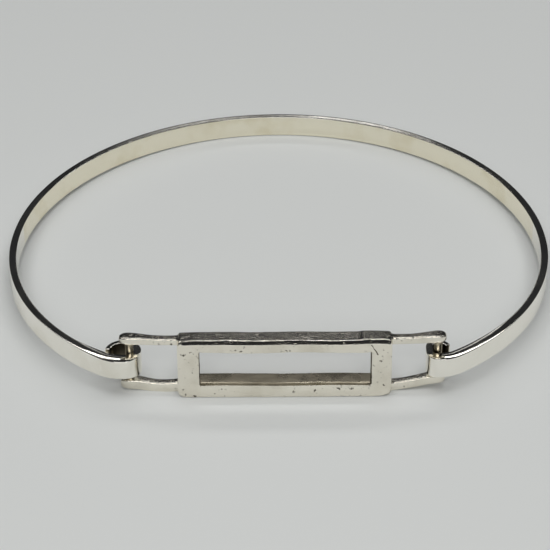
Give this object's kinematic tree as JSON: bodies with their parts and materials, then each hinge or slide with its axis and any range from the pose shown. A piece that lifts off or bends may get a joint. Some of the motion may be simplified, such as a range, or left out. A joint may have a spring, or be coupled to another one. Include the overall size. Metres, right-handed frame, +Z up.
{
  "type": "bangle bracelet",
  "caption": "Round silver bangle: a springy flat band hooked to a rectangular open link that swings on a pin.",
  "frame": {"origin": "middle of the whole bangle's box, in the middle of the band's height", "axes": "+X to the wearer's right across the front link, +Y from the front link to the back of the band, +Z up along both pins"},
  "size_m": [0.062, 0.0542, 0.007],
  "materials": {
    "band_silver": "polished sterling silver, worn, with fine scratches",
    "link_silver": "polished sterling silver, pitted and finished by hand",
    "rail_silver": "sterling silver wire, worn smooth, dark in its recesses",
    "pin_silver": "sterling silver, darkened by tarnish"
  },
  "bodies": {
    "band": {"band_hinge_half": "band_silver"},
    "catch": {"band_catch_half": "band_silver"},
    "link": {"face_frame": "link_silver", "upper_rail": "rail_silver", "lower_rail": "rail_silver", "hinge_pin": "pin_silver", "catch_pin": "pin_silver"}
  },
  "joints": [
    {"name": "band_flex", "type": "hinge", "parent": "band", "child": "catch", "pos_m": [0, 0.02664, 0], "axis": [0, 0, 1], "range_deg": [0, 3.8], "stiffness_Nm_per_rad": 0.11, "springref_deg": -5.73, "deforming": ["band_catch_half"]},
    {"name": "link_hinge", "type": "hinge", "parent": "band", "child": "link", "pos_m": [0.017, -0.02512, 0], "axis": [0, 0, 1], "range_deg": [-108, 170]}
  ]
}
